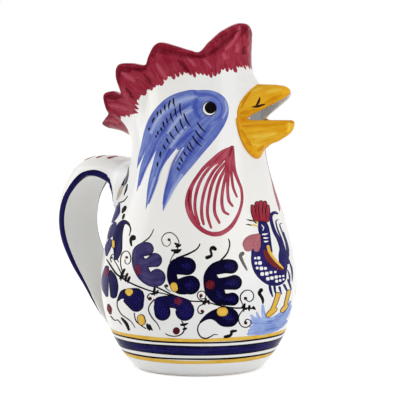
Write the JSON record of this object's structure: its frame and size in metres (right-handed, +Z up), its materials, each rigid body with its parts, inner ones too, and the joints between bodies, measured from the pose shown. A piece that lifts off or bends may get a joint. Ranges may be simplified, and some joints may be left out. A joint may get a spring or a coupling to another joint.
{
  "type": "rooster pitcher",
  "caption": "Glazed earthenware table pitcher shaped as a rooster, pouring from its open beak, with a comb-cut filling mouth, a rounded belly and a broad strap handle.",
  "frame": {"origin": "centre of the flat underside of the foot", "axes": "+Z up, +X towards the beak, -X towards the handle"},
  "size_m": [0.1708, 0.123, 0.215],
  "materials": {
    "white_glaze": "white tin glaze, glossy",
    "comb_red": "brushed crimson under glossy glaze",
    "beak_yellow": "brushed orange yellow under glossy glaze"
  },
  "bodies": {
    "root": {"floor_disc": "white_glaze", "belly_wall": "white_glaze", "head": "white_glaze", "comb": "comb_red", "upper_beak": "beak_yellow", "lower_beak": "beak_yellow", "handle": "white_glaze"}
  },
  "joints": []
}
